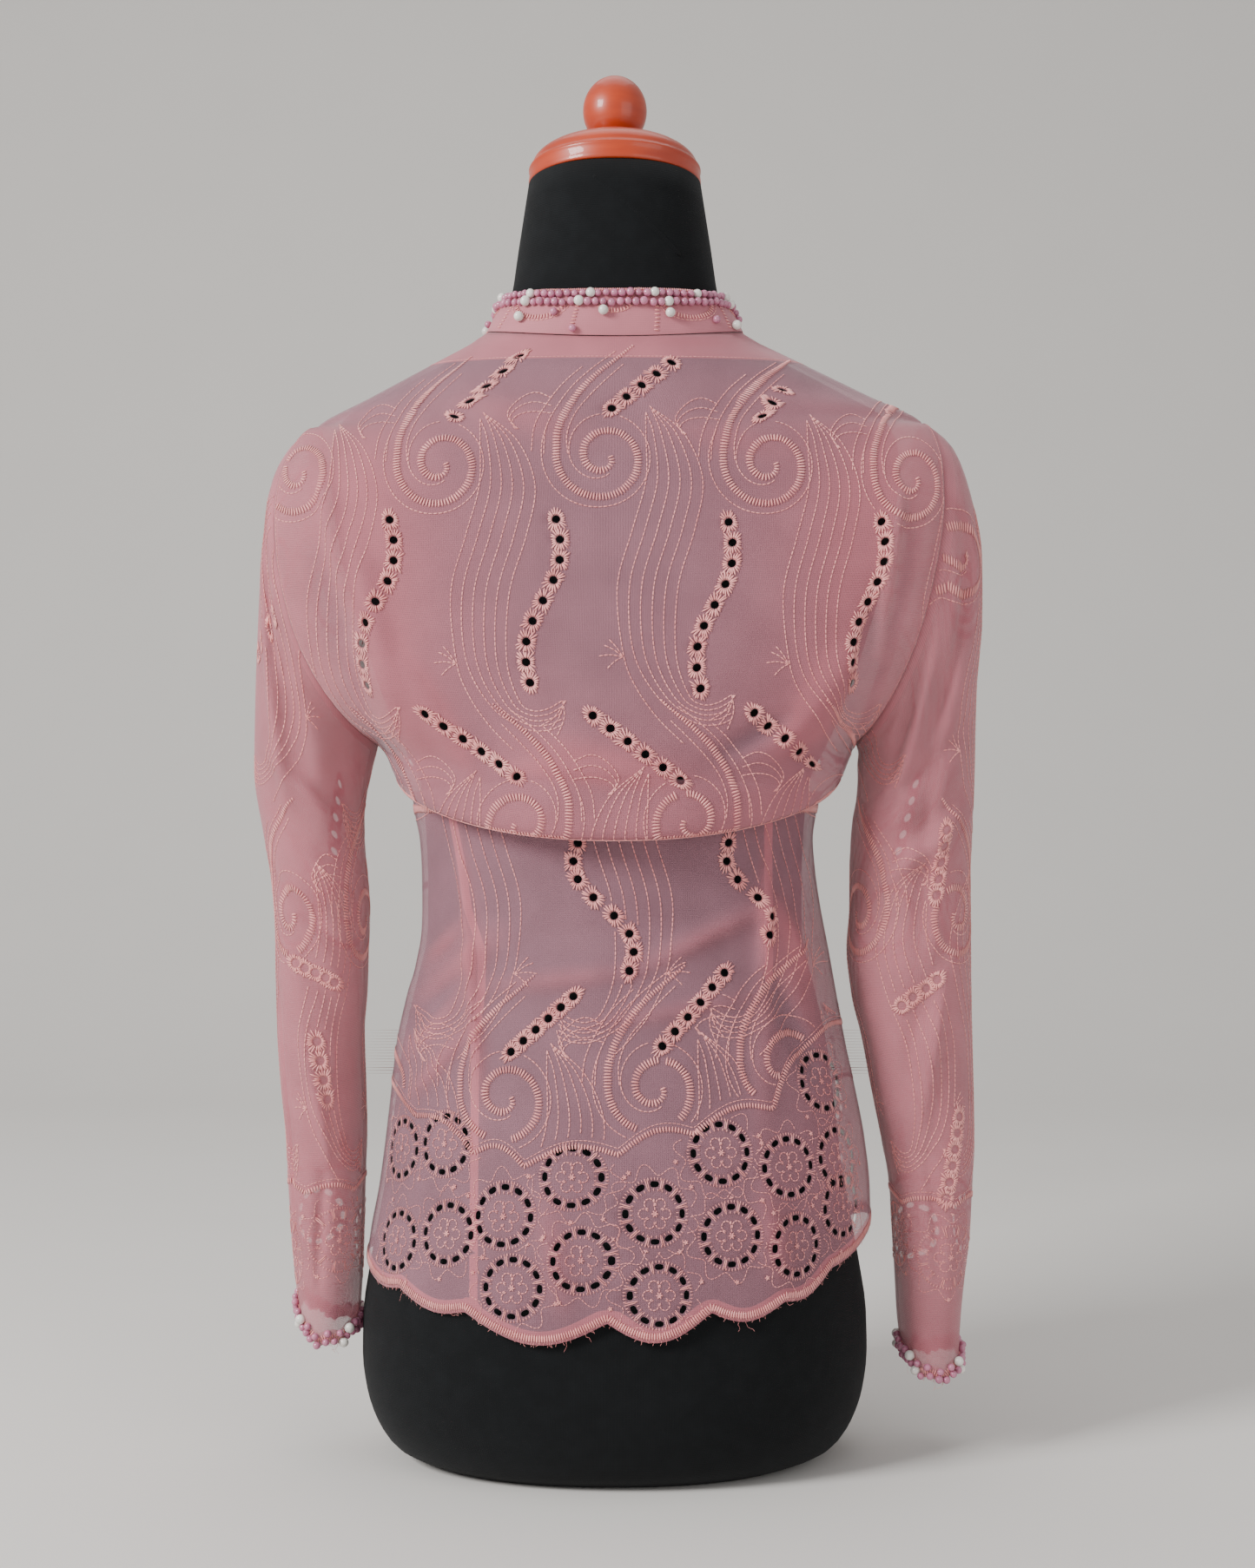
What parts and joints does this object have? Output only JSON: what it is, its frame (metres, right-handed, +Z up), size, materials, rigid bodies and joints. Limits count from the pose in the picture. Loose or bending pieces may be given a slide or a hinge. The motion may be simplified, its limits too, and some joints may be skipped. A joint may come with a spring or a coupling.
{
  "type": "kebaya blouse on a limbless dress form",
  "caption": "Long-sleeved sheer blouse with a standing neckband, scalloped hem and worked eyelets, worn by a limbless dress form with a neck cap.",
  "frame": {"origin": "on the floor, under the middle of the whole object's box", "axes": "+Z up, +Y out of the back of the blouse, +X towards the wearer's left"},
  "size_m": [0.4566, 0.247, 0.8694],
  "materials": {
    "voile": "sheer rose pink voile with satin stitch embroidery",
    "neckband": "folded voile with rows of small pearls",
    "jersey": "near-black matt cotton jersey",
    "lacquered_wood": "glossy orange-brown lacquer"
  },
  "bodies": {
    "root": {"form_body": "jersey", "neck_cap": "lacquered_wood", "finial": "lacquered_wood", "back": "voile", "left_front": "voile", "right_front": "voile", "left_sleeve_back": "voile", "left_sleeve_front": "voile", "right_sleeve_back": "voile", "right_sleeve_front": "voile", "neckband": "neckband"}
  },
  "joints": []
}
